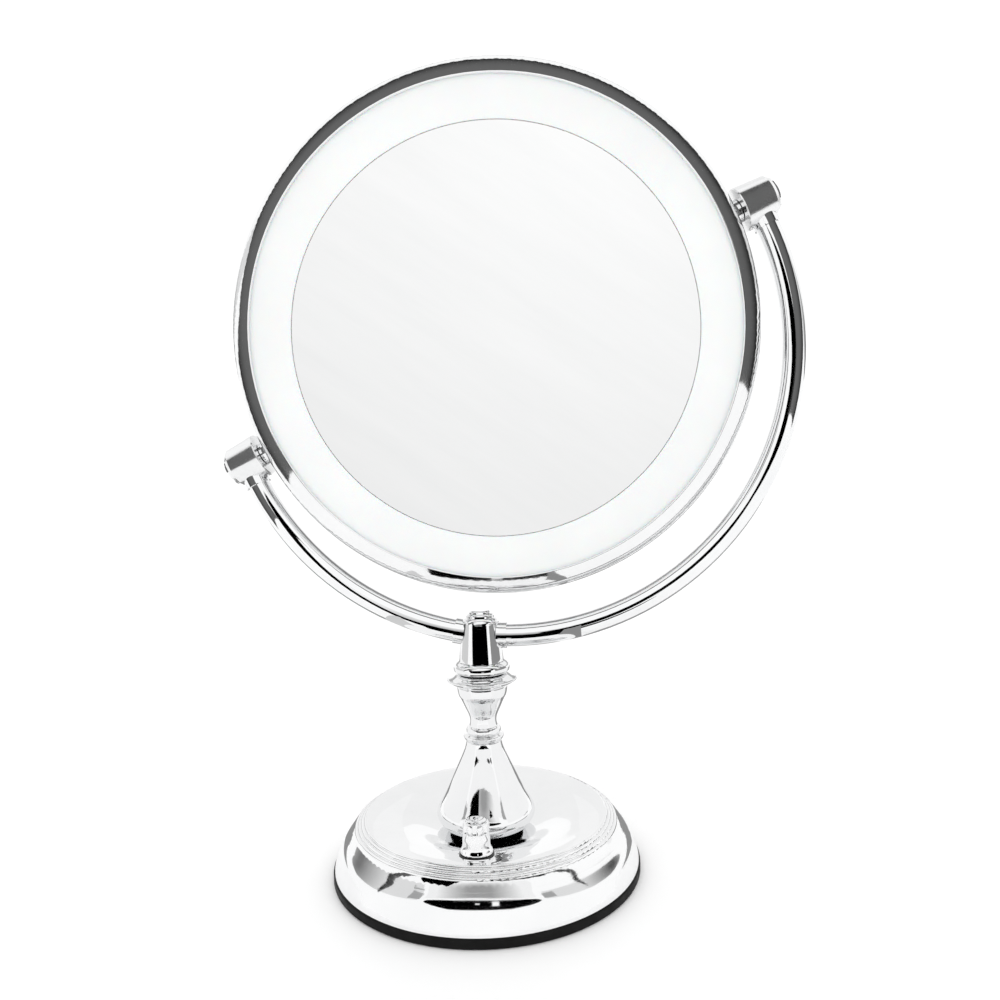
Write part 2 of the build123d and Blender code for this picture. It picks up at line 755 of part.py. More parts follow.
with BuildPart() as stem_bead:
    with BuildSketch(Plane.XZ):
        with BuildLine():
            Polyline((0, bead_z1), (0, ring_z1), (7.9, ring_z1))
            ThreePointArc((7.9, ring_z1), (8.5, ring_z1 + 1.7), (7.2, bead_z1))
            Line((7.2, bead_z1), (0, bead_z1))
        make_face()
    revolve(axis=stem_axis)
    turned_bore(ring_z1, bead_z1)
stem_bead.part.label = "stem_bead"
export_step(stem_bead.part, "parts/stem_bead.step")

with BuildPart() as stem_ring:
    with BuildSketch(Plane.XZ):
        with BuildLine():
            Polyline((0, ring_z1), (0, foot_z1), (8.5, foot_z1))
            Spline((8.5, foot_z1), (9.3, foot_z1 + 1.3), (9.9, foot_z1 + 2.4), tangents=((0.2, 1), (0.6, 1)))
            ThreePointArc((9.9, foot_z1 + 2.4), (9.9, foot_z1 + 3.1), (9.3, foot_z1 + 3.5))
            Line((9.3, foot_z1 + 3.5), (8.3, ring_z1))
            Line((8.3, ring_z1), (0, ring_z1))
        make_face()
    revolve(axis=stem_axis)
    turned_bore(foot_z1, ring_z1)
stem_ring.part.label = "stem_ring"
export_step(stem_ring.part, "parts/stem_ring.step")

# Pear-shaped foot, cored out from below.
with BuildPart() as stem_foot:
    with BuildSketch(Plane.XZ):
        with BuildLine():
            Spline(
                (8.7, foot_z1),
                (11.2, foot_z0 + 35.5),
                (16.1, foot_z0 + 25.0),
                (21.7, foot_z0 + 14.5),
                (24.3, foot_z0 + 8.0),
                (21.0, foot_z0 + 2.4),
                (dish_r, foot_z0),
                tangents=((0.12, -1), (-1, -0.12)),
            )
            Polyline(
                (dish_r, foot_z0),
                (12.5, foot_z0),
                (12.5, foot_z0 + 1.5),
                (19.5, foot_z0 + 7.0),
                (16.5, foot_z0 + 15.0),
                (7.5, foot_z0 + 32.0),
                (0, foot_z0 + 34.0),
                (0, foot_z1),
                (8.7, foot_z1),
            )
        make_face()
    revolve(axis=stem_axis)
    turned_bore(foot_z0 + 30.0, foot_z1)
stem_foot.part.label = "stem_foot"
export_step(stem_foot.part, "parts/stem_foot.step")

# Hollow threaded rod that clamps the whole stem to the base; the lead runs up inside it.
with BuildPart() as tie_rod:
    with BuildSketch(Plane.XY.offset(rod_z0)):
        Circle(rod_r)
        Circle(rod_bore, mode=Mode.SUBTRACT)
    extrude(amount=rod_z1 - rod_z0)
    chamfer(tie_rod.edges().filter_by(GeomType.CIRCLE).sort_by(SortBy.RADIUS)[-2:], 0.4)
tie_rod.part.label = "tie_rod"
export_step(tie_rod.part, "parts/tie_rod.step")

rod_washer_r = 9.0
rod_washer_t = 1.5
with BuildPart() as rod_washer:
    with BuildSketch(Plane.XY.offset(weight_z1 - rod_washer_t)):
        Circle(rod_washer_r)
        Circle(rod_r + 0.2, mode=Mode.SUBTRACT)
    extrude(amount=rod_washer_t - seated)
rod_washer.part.label = "rod_washer"
export_step(rod_washer.part, "parts/rod_washer.step")

with BuildPart() as rod_nut:
    with BuildSketch(Plane.XY.offset(weight_z1 - 1.5 - seated - 3.6)):
        RegularPolygon(6.5, 6, major_radius=False)
        Circle(rod_r + seated, mode=Mode.SUBTRACT)
    extrude(amount=3.6)
rod_nut.part.label = "rod_nut"
export_step(rod_nut.part, "parts/rod_nut.step")

# ---- base ----------------------------------------------------------------------------------------

shell_wall = 1.8
knob_hole_r = 3.6
weight_bolt_r = 2.0
boss_z0 = weight_z1 + 0.3
inlet_pocket_r = 6.0
inlet_hole_r = 4.1


def dished_top(drop):
    """The base's dished top, from the innermost ridge in to the level middle, lowered by a wall."""
    Spline(
        (ridge_in_r, ridge_in_z - drop),
        (52.0, ridge_in_z - 0.5 - drop),
        (46.0, ridge_in_z - 1.3 - drop),
        (40.0, ridge_in_z - 2.6 - drop),
        (34.0, ridge_in_z - 4.5 - drop),
        (28.0, ridge_in_z - 6.7 - drop),
        (22.0, ridge_in_z - 8.4 - drop),
        (dish_r, foot_z0 - drop),
        tangents=((-1, 0.12), (-1, 0)),
    )


# Spun shell: convex skirt, four ridges up to the shoulder, dished top with a level seat for the
# dimmer, bosses for the ballast screws, and a pocket for the power inlet at the back.
with BuildPart() as base_shell:
    with BuildSketch(Plane.XZ):
        with BuildLine():
            Line((skirt_r - shell_wall, ring_h), (skirt_r, ring_h))
            Spline(
                (skirt_r, ring_h),
                (73.2, 8.6),
                (71.6, 12.4),
                (69.4, 16.2),
                (66.8, 19.6),
                (ridge_out_r, ridge_out_z),
                tangents=((-0.1, 1), (-0.75, 0.66)),
            )
            step_r = (ridge_out_r - ridge_in_r) / ridge_count
            step_z = (ridge_in_z - ridge_out_z) / ridge_count
            for k in range(ridge_count):
                r, z = ridge_out_r - k * step_r, ridge_out_z + k * step_z
                ThreePointArc((r, z), (r - 0.35 * step_r, z + 0.95 * step_z), (r - step_r, z + step_z))
            dished_top(0)
            Line((dish_r, foot_z0), (0, foot_z0))
            Line((0, foot_z0), (0, foot_z0 - shell_wall))
            Line((0, foot_z0 - shell_wall), (dish_r, foot_z0 - shell_wall))
            dished_top(shell_wall)
            Spline(
                (ridge_in_r, ridge_in_z - shell_wall),
                (ridge_out_r - 1.6, ridge_out_z - 1.9),
                (67.4, 16.2),
                (69.8, 12.0),
                (skirt_r - shell_wall, ring_h),
                tangents=((1, -0.2), (0.1, -1)),
            )
        make_face()
    revolve(axis=stem_axis)
    # level seat, flat on both sides
    with BuildSketch(Plane.XY.offset(seat_z)):
        with Locations((0, knob_y)):
            Circle(seat_r)
    extrude(amount=-2.4)
    with BuildSketch(Plane.XY.offset(seat_z - 2.4)):
        with Locations((0, knob_y)):
            Circle(seat_r - 0.7)
    extrude(amount=-4, mode=Mode.SUBTRACT)
    with BuildSketch(Plane.XY.offset(seat_z)):
        with Locations((0, knob_y)):
            Circle(seat_r)
    extrude(amount=4, mode=Mode.SUBTRACT)
    # bosses
    with BuildSketch(Plane.XY.offset(boss_z0)):
        with PolarLocations(screw_circle_r, 4, 45):
            Circle(4.0)
    extrude(amount=ridge_in_z - 4.4 - boss_z0)
    with BuildSketch(Plane.XY.offset(boss_z0)):
        with PolarLocations(screw_circle_r, 4, 45):
            Circle(weight_bolt_r + seated)
    extrude(amount=5.0, mode=Mode.SUBTRACT)
    # inlet pocket
    with BuildSketch(Plane(origin=(0, inlet_y - 3.2, inlet_z), x_dir=(1, 0, 0), z_dir=(0, 1, 0))):
        Circle(inlet_pocket_r + 1.2)
    extrude(amount=4.2)
    with BuildSketch(Plane(origin=(0, inlet_y, inlet_z), x_dir=(1, 0, 0), z_dir=(0, 1, 0))):
        Circle(inlet_pocket_r)
    extrude(amount=8, mode=Mode.SUBTRACT)
    with BuildSketch(Plane(origin=(0, inlet_y - 8, inlet_z), x_dir=(1, 0, 0), z_dir=(0, 1, 0))):
        Circle(inlet_hole_r)
    extrude(amount=10, mode=Mode.SUBTRACT)
    # holes for the tie rod and the dimmer
    with BuildSketch(Plane.XY.offset(foot_z0 - 5)):
        Circle(stem_bore)
    extrude(amount=10, mode=Mode.SUBTRACT)
    with BuildSketch(Plane.XY.offset(seat_z - 6)):
        with Locations((0, knob_y)):
            Circle(knob_hole_r)
    extrude(amount=10, mode=Mode.SUBTRACT)
base_shell.part.label = "base_shell"
export_step(base_shell.part, "parts/base_shell.step")

# Black moulded ring that the shell's edge stands in.
with BuildPart() as foot_ring:
    with BuildSketch(Plane.XZ):
        with BuildLine():
            Polyline(
                (66.0, 0),
                (ring_r - 0.6, 0),
                (ring_r, 0.6),
                (ring_r, ring_h - 0.8),
                (ring_r - 0.45, ring_h - 0.05),
                (plate_r + 0.2, ring_h - 0.05),
                (plate_r + 0.2, plate_z0 - 0.1),
                (66.0, plate_z0 - 0.1),
                close=True,
            )
        make_face()
    revolve(axis=stem_axis)
foot_ring.part.label = "foot_ring"
export_step(foot_ring.part, "parts/foot_ring.step")

# Steel bottom plate with countersunk holes for the ballast screws.
with BuildPart() as bottom_plate:
    with BuildSketch(Plane.XY.offset(plate_z0)):
        Circle(plate_r)
    extrude(amount=plate_z1 - plate_z0)
    with Locations(Plane(origin=(0, 0, plate_z0), z_dir=(0, 0, -1))):
        with PolarLocations(screw_circle_r, 4, 45):
            CounterSinkHole(weight_bolt_r + 0.2, 3.8, plate_z1 - plate_z0)
bottom_plate.part.label = "bottom_plate"
export_step(bottom_plate.part, "parts/bottom_plate.step")

pad_r = 65.8
with BuildPart() as base_pad:
    with BuildSketch(Plane.XY):
        Circle(pad_r)
    extrude(amount=plate_z0 - seated)
base_pad.part.label = "base_pad"
export_step(base_pad.part, "parts/base_pad.step")

# Cast-iron ballast with pockets for the dimmer and the inlet and a channel for the leads.
weight_z0 = plate_z1 + 0.1
with BuildPart() as ballast:
    with BuildSketch(Plane.XY.offset(weight_z0)):
        Circle(weight_r)
        Circle(weight_bore, mode=Mode.SUBTRACT)
        with PolarLocations(screw_circle_r, 4, 45):
            Circle(weight_bolt_r + 0.3, mode=Mode.SUBTRACT)
        with Locations((0, -39)):
            Rectangle(32, 42, mode=Mode.SUBTRACT)
        with Locations((0, 60)):
            Rectangle(16, 20, mode=Mode.SUBTRACT)
    extrude(amount=weight_z1 - weight_z0)
    with BuildSketch(Plane.XY.offset(weight_z0)):
        Rectangle(24, 110)
    extrude(amount=6.0, mode=Mode.SUBTRACT)
    chamfer(ballast.faces().sort_by(Axis.Z)[-1].outer_wire().edges(), 0.8)
ballast.part.label = "ballast"
export_step(ballast.part, "parts/ballast.step")

# Countersunk screws through plate and ballast into the shell's bosses.
screw_flat_head_r = 3.7
screw_flat_head_h = 1.55
with BuildPart() as plate_screws:
    with BuildSketch(Plane.XY.offset(plate_z0)):
        with PolarLocations(screw_circle_r, 4, 45):
            Circle(screw_flat_head_r)
    extrude(amount=screw_flat_head_h, taper=45)
    with BuildSketch(Plane.XY.offset(plate_z0 + 1.0)):
        with PolarLocations(screw_circle_r, 4, 45):
            Circle(weight_bolt_r)
    extrude(amount=boss_z0 + 4.5 - plate_z0 - 1.0)
plate_screws.part.label = "plate_screws"
export_step(plate_screws.part, "parts/plate_screws.step")

# ---- dimmer --------------------------------------------------------------------------------------

board_top = 12.4
knob_axis = Axis((0, knob_y, 0), (0, 0, 1))
knob_section = Plane(origin=(0, knob_y, 0), x_dir=(1, 0, 0), z_dir=(0, -1, 0))

# Rotary switch: round can with a threaded neck through the shell.
with BuildPart() as dimmer_switch:
    with BuildSketch(knob_section):
        with BuildLine():
            Polyline(
                (0, board_top + 0.02),
                (8.0, board_top + 0.02),
                (8.0, seat_z - 3.8),
                (7.2, seat_z - 3.8),
                (7.2, seat_z - 2.45),
                (knob_hole_r - 0.1, seat_z - 2.45),
                (knob_hole_r - 0.1, seat_z + 3.6),
                (shaft_r + running, seat_z + 3.6),
                (shaft_r + running, 15.0),
                (0, 15.0),
                close=True,
            )
        make_face()
    revolve(axis=knob_axis)
dimmer_switch.part.label = "dimmer_switch"
export_step(dimmer_switch.part, "parts/dimmer_switch.step")

with BuildPart() as dimmer_nut:
    with BuildSketch(Plane.XY.offset(seat_z + washer_h + 0.02)):
        with Locations((0, knob_y)):
            RegularPolygon(4.2, 6, major_radius=False)
            Circle(knob_hole_r - 0.08, mode=Mode.SUBTRACT)
    extrude(amount=1.9)
dimmer_nut.part.label = "dimmer_nut"
export_step(dimmer_nut.part, "parts/dimmer_nut.step")

# Black washer ring that shows under the knob.
with BuildPart() as knob_washer:
    with BuildSketch(knob_section):
        with BuildLine():
            Polyline(
                (knob_hole_r, seat_z + 0.02),
                (seat_r - 0.5, seat_z + 0.02),
                (seat_r - 0.5, seat_z + 0.7),
                (seat_r - 1.0, seat_z + washer_h),
                (knob_hole_r, seat_z + washer_h),
                close=True,
            )
        make_face()
    revolve(axis=knob_axis)
knob_washer.part.label = "knob_washer"
export_step(knob_washer.part, "parts/knob_washer.step")

shaft_flat = 2.0              # twice the depth of the flat
with BuildPart() as dimmer_shaft:
    with BuildSketch(Plane.XY.offset(15.2)):
        with Locations((0, knob_y)):
            Circle(shaft_r)
    extrude(amount=20.3)
    # flat for the knob
    with BuildSketch(Plane.XY.offset(seat_z + 4.0)):
        with Locations((0, knob_y + shaft_r)):
            Rectangle(2 * shaft_r, shaft_flat)
    extrude(amount=20, mode=Mode.SUBTRACT)
dimmer_shaft.part.label = "dimmer_shaft"
export_step(dimmer_shaft.part, "parts/dimmer_shaft.step")

# Knob: flared foot, body that narrows upwards and a fluted crown, hollow below for the nut.
knob_foot_r = 7.2
knob_neck_r = 5.75            # under the crown
knob_nut_r = 5.15             # recess over the nut
knob_neck_z = knob_z1 - 4.6
crown_r = 5.95
crown_dish = 0.9              # depth of its dished top
flutes = 8
flute_r = 1.5
flute_circle_r = crown_r + 0.55
with BuildPart() as dimmer_knob:
    with BuildSketch(knob_section):
        with BuildLine():
            Polyline((0, knob_z0), (knob_foot_r, knob_z0), (knob_foot_r, knob_z0 + 0.6))
            Spline(
                (knob_foot_r, knob_z0 + 0.6),
                (knob_foot_r - 0.75, knob_z0 + 2.2),
                (knob_neck_r + 0.4, knob_z0 + 5.5),
                (knob_neck_r, knob_neck_z),
                tangents=((-0.3, 1), (-0.05, 1)),
            )
            Spline(
                (knob_neck_r, knob_neck_z),
                (crown_r, knob_z1 - 2.6),
                (crown_r - 0.35, knob_z1 - 0.6),
                (crown_r - 1.35, knob_z1),
                tangents=((0.15, 1), (-1, 0.1)),
            )
            Spline((crown_r - 1.35, knob_z1), (0, knob_z1 - crown_dish), tangents=((-1, -0.2), (-1, 0)))
            Line((0, knob_z1 - crown_dish), (0, knob_z0))
        make_face()
    revolve(axis=knob_axis)
    # recess over the nut and the bore with its flat
    with BuildSketch(Plane.XY.offset(knob_z0)):
        with Locations((0, knob_y)):
            Circle(knob_nut_r)
    extrude(amount=seat_z + 3.4 - knob_z0, mode=Mode.SUBTRACT)
    with BuildSketch(Plane.XY.offset(knob_z0)):
        with Locations((0, knob_y)):
            Circle(knob_hole_r + 0.4)
    extrude(amount=seat_z + 4.0 - knob_z0, mode=Mode.SUBTRACT)
    with BuildSketch(Plane.XY.offset(seat_z + 3.9)):
        with Locations((0, knob_y)):
            Circle(shaft_r + seated)
        with Locations((0, knob_y + shaft_r)):
            Rectangle(2 * shaft_r, shaft_flat - 2 * seated, mode=Mode.SUBTRACT)
    extrude(amount=35.8 - seat_z - 3.9, mode=Mode.SUBTRACT)
    # flutes round the crown, one of them facing the user
    with BuildSketch(Plane.XY.offset(knob_neck_z + 0.4)):
        with Locations((0, knob_y)):
            with PolarLocations(flute_circle_r, flutes, -90):
                Circle(flute_r)
    extrude(amount=knob_z1 - knob_neck_z, mode=Mode.SUBTRACT)
dimmer_knob.part.label = "dimmer_knob"
export_step(dimmer_knob.part, "parts/dimmer_knob.step")

# Circuit board under the switch, and what is on it.
board_y0, board_y1 = -58.0, -31.0
board_w = 28.0
board_t2 = 1.6
with BuildPart() as dimmer_board:
    with BuildSketch(Plane.XY.offset(board_top - board_t2)):
        rectangle(-board_w / 2, board_w / 2, board_y0, board_y1)
    extrude(amount=board_t2)
    fillet(dimmer_board.edges().filter_by(Axis.Z), 1.5)
dimmer_board.part.label = "dimmer_board"
export_step(dimmer_board.part, "parts/dimmer_board.step")

with BuildPart() as board_parts:
    with BuildSketch(Plane.XY.offset(board_top + 0.02)):
        with Locations((10.8, -41.0), (10.8, -50.0)):
            Rectangle(4.0, 5.0)
    extrude(amount=1.8)
    with BuildSketch(Plane.XY.offset(board_top + 0.02)):
        with Locations((-11.0, -52.0)):
            Circle(2.5)
    extrude(amount=5.0)
    with BuildSketch(Plane.XY.offset(board_top + 0.02)):
        with Locations((-11.0, -38.5), (-11.0, -44.5)):
            Rectangle(3.0, 2.2)
    extrude(amount=1.2)
board_parts.part.label = "board_parts"
export_step(board_parts.part, "parts/board_parts.step")

# ---- power inlet ---------------------------------------------------------------------------------

# Barrel socket for a 5.5 by 2.1 mm plug, with its centre pin.
inlet_axis = Axis((0, inlet_y, inlet_z), (0, 1, 0))
inlet_section = Plane(origin=(0, inlet_y, inlet_z), x_dir=(1, 0, 0), z_dir=(0, 0, 1))
with BuildPart() as power_inlet:
    with BuildSketch(inlet_section):
        with BuildLine():
            Polyline(
                (0, -11.0),
                (inlet_hole_r - 0.1, -11.0),
                (inlet_hole_r - 0.1, 0.02),
                (inlet_pocket_r - 0.4, 0.02),
                (inlet_pocket_r - 0.4, 1.0),
                (inlet_pocket_r - 0.8, 1.3),
                (2.85, 1.3),
                (2.85, -8.5),
                (1.0, -8.5),
                (1.0, 0.6),
                (0, 0.8),
                close=True,
            )
        make_face()
    revolve(axis=inlet_axis)
power_inlet.part.label = "power_inlet"
export_step(power_inlet.part, "parts/power_inlet.step")

with BuildPart() as inlet_nut:
    with BuildSketch(Plane(origin=(0, inlet_y - 3.25, inlet_z), x_dir=(1, 0, 0), z_dir=(0, -1, 0))):
        RegularPolygon(5.5, 6, major_radius=False)
        Circle(inlet_hole_r - 0.08, mode=Mode.SUBTRACT)
    extrude(amount=2.0)
inlet_nut.part.label = "inlet_nut"
export_step(inlet_nut.part, "parts/inlet_nut.step")

# ---- leads ---------------------------------------------------------------------------------------

# Every lead is one round two-core wire. Its bends are as large as its runs allow.


def bend_radii(points):
    """The radius of each bend of a route: 0.45 of the shorter run over the tangent of half the turn."""
    radii = []
    for before, corner, after in zip(points, points[1:], points[2:]):
        first, second = Vector(*corner) - Vector(*before), Vector(*after) - Vector(*corner)
        half_turn = radians(first.get_angle(second) / 2)
        radii.append(0.45 * min(first.length, second.length) * cos(half_turn) / sin(half_turn))
    return radii


def report_lead(name, lead, edges):
    """Print a lead's length and its volume over section times length, which should be 1."""
    length = sum(edge.length for edge in edges)
    print(name, "length", round(length, 1), "volume ratio", round(lead.volume / (length * pi * lead_r**2), 4))


# From the inlet, round the tie rod, to the dimmer board.
inlet_route = [
    (0, inlet_y - 11.02, inlet_z),
    (0, 54.0, inlet_z),
    (0.8, 48.0, 8.2),
    (3.6, 39.0, 6.5),
    (8.5, 26.0, 6.4),
    (11.0, 12.0, 6.7),
    (10.8, -2.0, 6.4),
    (8.5, -13.0, 6.8),
    (6.0, -20.5, 9.4),
    (5.0, -26.0, 11.6),
    (5.0, board_y1 + 0.02, 11.6),
]
inlet_radii = bend_radii(inlet_route)
print("inlet lead radii", [round(r, 1) for r in inlet_radii])
with BuildPart() as inlet_lead:
    with BuildLine() as route:
        FilletPolyline(*inlet_route, radius=inlet_radii)
    with BuildSketch(Plane(origin=route.line @ 0, z_dir=route.line % 0)):
        Circle(lead_r)
    sweep(path=route.line)
inlet_lead.part.label = "inlet_lead"
export_step(inlet_lead.part, "parts/inlet_lead.step")
report_lead("inlet lead", inlet_lead.part, route.edges())

# From the board up inside the tie rod, through the tube's underside, along the outer side of the
# yoke tube's bore to the right hub, and on to the pivot axis at the mouth of the hollow pin.
board_route = [
    (-5.0, board_y1 + 0.02, 11.6),
    (-5.0, -26.0, 11.6),
    (-4.3, -20.0, 8.6),
    (-1.8, -12.5, 6.7),
    (0, -6.5, 6.4),
    (0, 0, 6.4),
]
lead_centre = YOKE + ALONG * 1.3
lead_circle = yoke_r + 1.4
low_bend = 5.0
high_bend = 1.8
low = Vector(low_bend, 0, 0)
low.Z = lead_centre.Z - sqrt((lead_circle + low_bend) ** 2 - (lead_centre.X - low_bend) ** 2)
reach = 1.3 + sqrt((lead_circle - high_bend) ** 2 - (yoke_drop - high_bend) ** 2)
high = HEAD + ALONG * reach - UP * high_bend
to_low = (low - lead_centre).normalized()
to_high = (high - lead_centre).normalized()
rise_top = Vector(0, 0, low.Z)
base_route = board_route + [tuple(rise_top)]
base_radii = bend_radii(base_route)
print("stand lead radii", [round(r, 1) for r in base_radii], low_bend, lead_circle, high_bend)
with BuildPart() as stand_lead:
    with BuildLine() as route:
        FilletPolyline(*base_route, radius=base_radii)
        ThreePointArc(
            rise_top,
            low + (Vector(-1, 0, 0) - to_low).normalized() * low_bend,
            low - to_low * low_bend,
        )
        ThreePointArc(
            low - to_low * low_bend,
            lead_centre + (to_low + to_high).normalized() * lead_circle,
            lead_centre + to_high * lead_circle,
        )
        ThreePointArc(
            lead_centre + to_high * lead_circle,
            high + (to_high + UP).normalized() * high_bend,
            high + UP * high_bend,
        )
    with BuildSketch(Plane(origin=route.line @ 0, z_dir=route.line % 0)):
        Circle(lead_r)
    sweep(path=route.line)
stand_lead.part.label = "stand_lead"
export_step(stand_lead.part, "parts/stand_lead.step")
report_lead("stand lead", stand_lead.part, route.edges())

# From the pin's mouth, through the hollow right pin, into the board connector. It lies on the pivot
# axis, so the head can turn about it.
with BuildPart() as head_lead:
    with BuildSketch(pivot_plane(1, reach - 0.06)):
        Circle(lead_r)
    extrude(amount=-(reach - 0.06 - connector_r[1] + 1.9))
head_lead.part.label = "head_lead"
export_step(head_lead.part, "parts/head_lead.step")
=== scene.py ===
import json
from math import cos, radians, sin, tau

import bmesh
import bpy
from mathutils import Matrix, Vector


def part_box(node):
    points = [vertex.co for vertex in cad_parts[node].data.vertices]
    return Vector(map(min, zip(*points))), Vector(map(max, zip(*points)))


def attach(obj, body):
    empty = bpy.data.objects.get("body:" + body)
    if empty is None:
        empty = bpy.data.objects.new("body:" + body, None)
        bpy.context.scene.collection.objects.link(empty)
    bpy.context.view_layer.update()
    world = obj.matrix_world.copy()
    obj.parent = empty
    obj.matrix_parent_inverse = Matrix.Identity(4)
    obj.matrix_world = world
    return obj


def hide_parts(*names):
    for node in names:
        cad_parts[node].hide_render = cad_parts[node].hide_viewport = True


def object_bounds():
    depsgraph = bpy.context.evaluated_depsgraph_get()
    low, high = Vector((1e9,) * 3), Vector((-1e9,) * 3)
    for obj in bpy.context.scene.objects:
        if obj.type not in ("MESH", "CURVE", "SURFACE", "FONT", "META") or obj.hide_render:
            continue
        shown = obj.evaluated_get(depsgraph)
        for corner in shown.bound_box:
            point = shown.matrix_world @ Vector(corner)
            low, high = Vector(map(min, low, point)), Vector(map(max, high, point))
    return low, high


# A two-sided lighted vanity mirror on a turned chrome stem. Metres, +Z up, -Y towards the user.

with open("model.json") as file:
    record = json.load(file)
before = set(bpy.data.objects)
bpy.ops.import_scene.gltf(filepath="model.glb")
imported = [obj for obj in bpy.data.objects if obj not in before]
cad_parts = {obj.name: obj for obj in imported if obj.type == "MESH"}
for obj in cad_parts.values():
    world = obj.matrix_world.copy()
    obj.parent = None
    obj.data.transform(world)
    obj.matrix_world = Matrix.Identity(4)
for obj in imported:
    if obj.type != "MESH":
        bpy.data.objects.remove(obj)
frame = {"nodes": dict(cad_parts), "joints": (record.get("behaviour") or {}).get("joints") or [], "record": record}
cad_low, cad_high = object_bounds()
nodes = frame["nodes"]
joints = {joint["name"]: joint for joint in frame["joints"]}

# ---- frames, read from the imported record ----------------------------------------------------

HEAD = Vector(joints["head_tilt"]["pos_m"])                 # centre of the head, on the pivot axis
ALONG = Vector(joints["head_tilt"]["axis"]).normalized()    # pivot axis, lower left to upper right
UP = Vector((-ALONG.z, 0, ALONG.x))                         # square to it, in the yoke's plane
head_tilt = radians(6.2)                                    # the mirror looks this far down at rest
FRONT = (Vector((0, -cos(head_tilt), 0)) - UP * sin(head_tilt)).normalized()
HEAD_UP = FRONT.cross(ALONG)                                # square to the pivot axis, in the mirror


# ---- camera -----------------------------------------------------------------------------------

camera_place = Vector((0.0385, -0.3717, 0.1813))
camera_aim = Vector((-0.0718, 0.9974, -0.0052))
camera_roll = radians(1.79)
camera_lens = 27.0            # millimetres
camera_sensor = 36.0
camera_near = 0.01


def make_camera():
    data = bpy.data.cameras.new("camera")
    data.lens = camera_lens
    data.sensor_width = camera_sensor
    data.clip_start = camera_near
    camera = bpy.data.objects.new("camera", data)
    camera.location = camera_place
    camera.rotation_mode = "QUATERNION"
    level = camera_aim.to_track_quat("-Z", "Y").to_matrix()
    camera.rotation_quaternion = (level @ Matrix.Rotation(-camera_roll, 3, "Z")).to_quaternion()
    bpy.context.scene.collection.objects.link(camera)
    bpy.context.scene.camera = camera


make_camera()


# ---- mesh helpers -----------------------------------------------------------------------------

on_axis = 1e-7                # an outline's point nearer to the axis than this is one vertex


def new_piece(name, bm, material=None):
    """Closes a bmesh into an object of the scene."""
    mesh = bpy.data.meshes.new(name)
    bm.to_mesh(mesh)
    bm.free()
    piece = bpy.data.objects.new(name, mesh)
    bpy.context.scene.collection.objects.link(piece)
    if material:
        mesh.materials.append(material)
    return piece


def shade_smooth(piece, angle=35):
    for polygon in piece.data.polygons:
        polygon.use_smooth = True
    piece.data.set_sharp_from_angle(angle=radians(angle))


def lathe(name, outline, steps=128):
    """A closed solid of revolution about +Z from a closed half section of (radius, height)."""
    bm = bmesh.new()
    rings = []
    for radius, height in outline:
        if radius < on_axis:
            rings.append([bm.verts.new((0, 0, height))])
        else:
            rings.append([
                bm.verts.new((radius * cos(tau * k / steps), radius * sin(tau * k / steps), height))
                for k in range(steps)
            ])
    for lower, upper in zip(rings, rings[1:] + rings[:1]):
        if len(lower) == 1 and len(upper) == 1:
            continue
        for k in range(steps):
            after = (k + 1) % steps
            corners = [lower[k % len(lower)], lower[after % len(lower)]]
            corners += [upper[after % len(upper)], upper[k % len(upper)]]
            bm.faces.new(list(dict.fromkeys(corners)))
    bmesh.ops.recalc_face_normals(bm, faces=bm.faces)
    return new_piece(name, bm)


# ---- node helpers -----------------------------------------------------------------------------

